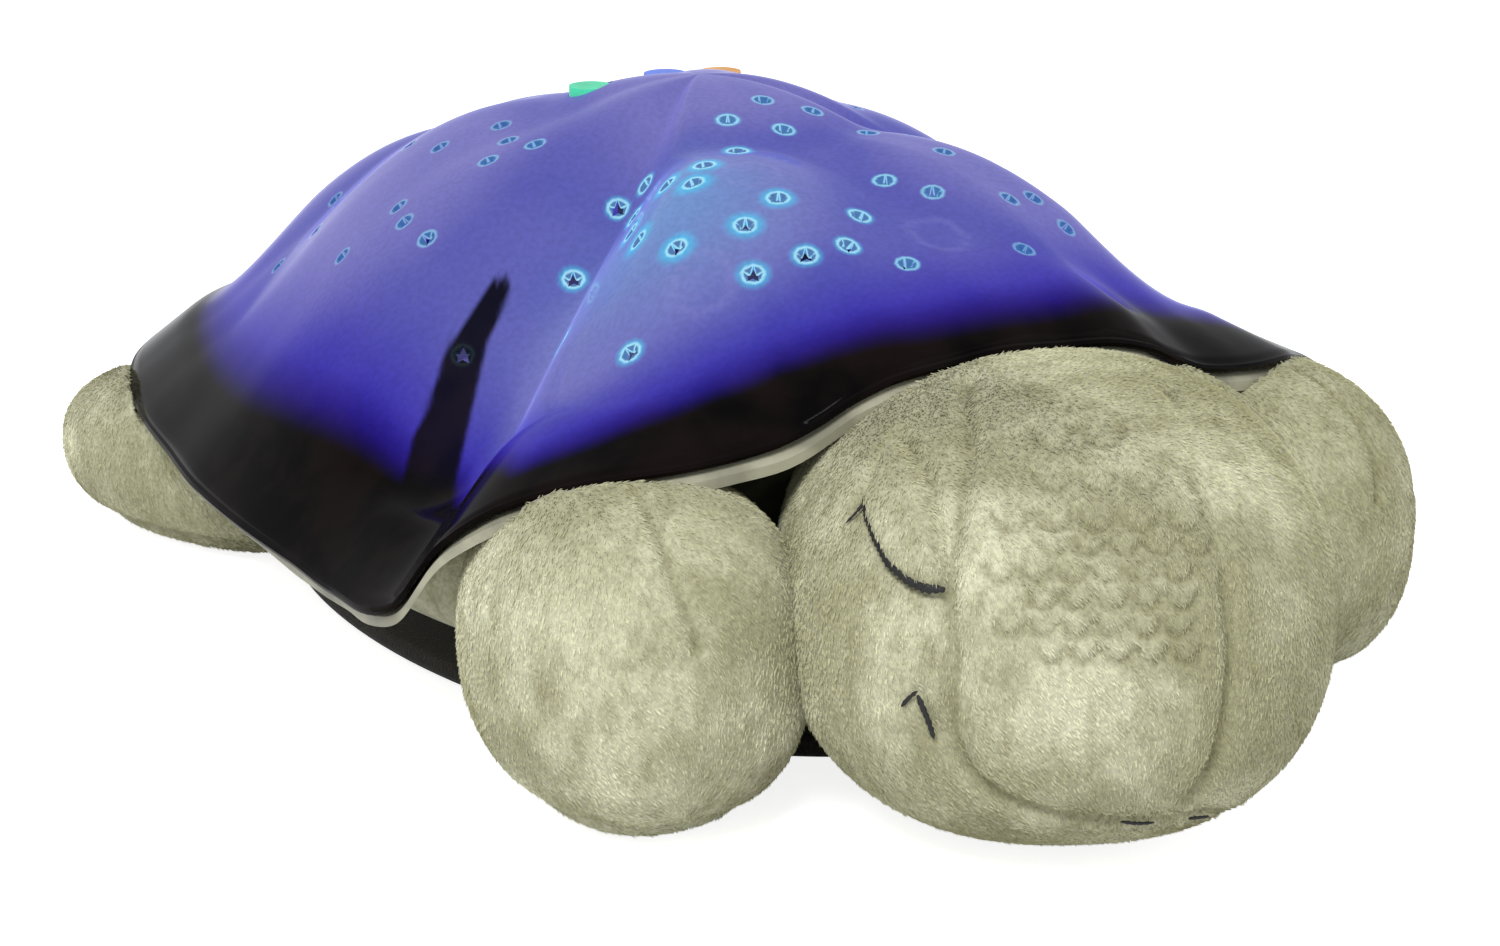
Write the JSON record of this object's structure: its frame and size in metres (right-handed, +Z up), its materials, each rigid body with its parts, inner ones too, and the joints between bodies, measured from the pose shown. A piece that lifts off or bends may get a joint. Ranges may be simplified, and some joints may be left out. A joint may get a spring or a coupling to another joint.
{
  "type": "plush turtle star projector night light",
  "caption": "Stuffed sleeping turtle with a hard translucent shell that glows in colour and throws stars through star-shaped holes.",
  "frame": {"origin": "middle of the footprint at floor level", "axes": "+Z up; -Y is where the turtle faces along its shell; +X is its left side"},
  "size_m": [0.266, 0.4147, 0.1346],
  "materials": {
    "shell_plastic": "gloss dark translucent",
    "tray_plastic": "satin moulded",
    "inner_plastic": "matt moulded",
    "white_plastic": "matt white",
    "steel": "bright",
    "board_green": "matt lacquer",
    "chip_black": "matt",
    "lamp_blue": "clear gloss",
    "lamp_green": "clear gloss",
    "lamp_amber": "clear gloss",
    "wire_grey": "satin",
    "button_green": "satin translucent",
    "button_blue": "satin translucent",
    "button_amber": "satin translucent",
    "button_power": "satin",
    "box_plastic": "satin moulded",
    "cell_metal": "gloss",
    "belly_fabric": "short nap, dark",
    "plush": "short mottled pile"
  },
  "bodies": {
    "turtle": {"shell_dome": "shell_plastic", "shell_tray": "tray_plastic", "shell_posts": "inner_plastic", "shell_screws": "steel", "light_reflector": "white_plastic", "lamp_pedestal": "inner_plastic", "lamp_board": "board_green", "control_chip": "chip_black", "lamp_blue": "lamp_blue", "lamp_green": "lamp_green", "lamp_amber": "lamp_amber", "button_board": "board_green", "board_bosses": "inner_plastic", "button_ribbon": "wire_grey", "button_switches": "chip_black", "battery_box": "box_plastic", "battery_riser": "box_plastic", "battery_cells": "cell_metal", "battery_springs": "steel", "battery_contacts": "steel", "lamp_wires": "wire_grey", "sewing_ring": "inner_plastic", "belly_panel": "belly_fabric", "plush_body": "plush", "plush_head": "plush", "front_leg_left": "plush", "rear_leg_left": "plush", "front_leg_right": "plush", "rear_leg_right": "plush", "plush_tail": "plush"},
    "button_green": {"button_green": "button_green"},
    "button_blue": {"button_blue": "button_blue"},
    "button_amber": {"button_amber": "button_amber"},
    "button_power": {"button_power": "button_power"},
    "battery_door": {"battery_door": "box_plastic", "battery_door_screw": "steel"},
    "belly_flap": {"belly_flap": "belly_fabric"}
  },
  "joints": [
    {"name": "button_green_press", "type": "slide", "parent": "turtle", "child": "button_green", "axis": [0, 0, -1], "range_m": [0, 0.0012], "stiffness_N_per_m": 900, "springref_m": -0.0006},
    {"name": "button_blue_press", "type": "slide", "parent": "turtle", "child": "button_blue", "axis": [0, 0, -1], "range_m": [0, 0.0012], "stiffness_N_per_m": 900, "springref_m": -0.0006},
    {"name": "button_amber_press", "type": "slide", "parent": "turtle", "child": "button_amber", "axis": [0, 0, -1], "range_m": [0, 0.0012], "stiffness_N_per_m": 900, "springref_m": -0.0006},
    {"name": "button_power_press", "type": "slide", "parent": "turtle", "child": "button_power", "axis": [0, 0, -1], "range_m": [0, 0.0012], "stiffness_N_per_m": 900, "springref_m": -0.0006},
    {"name": "battery_door_lift", "type": "slide", "parent": "turtle", "child": "battery_door", "axis": [0, 0, -1], "range_m": [0, 0.0019]},
    {"name": "belly_flap_open", "type": "hinge", "parent": "turtle", "child": "belly_flap", "pos_m": [0, 0.064, 0.0016], "axis": [1, 0, 0], "range_deg": [0, 95]}
  ]
}
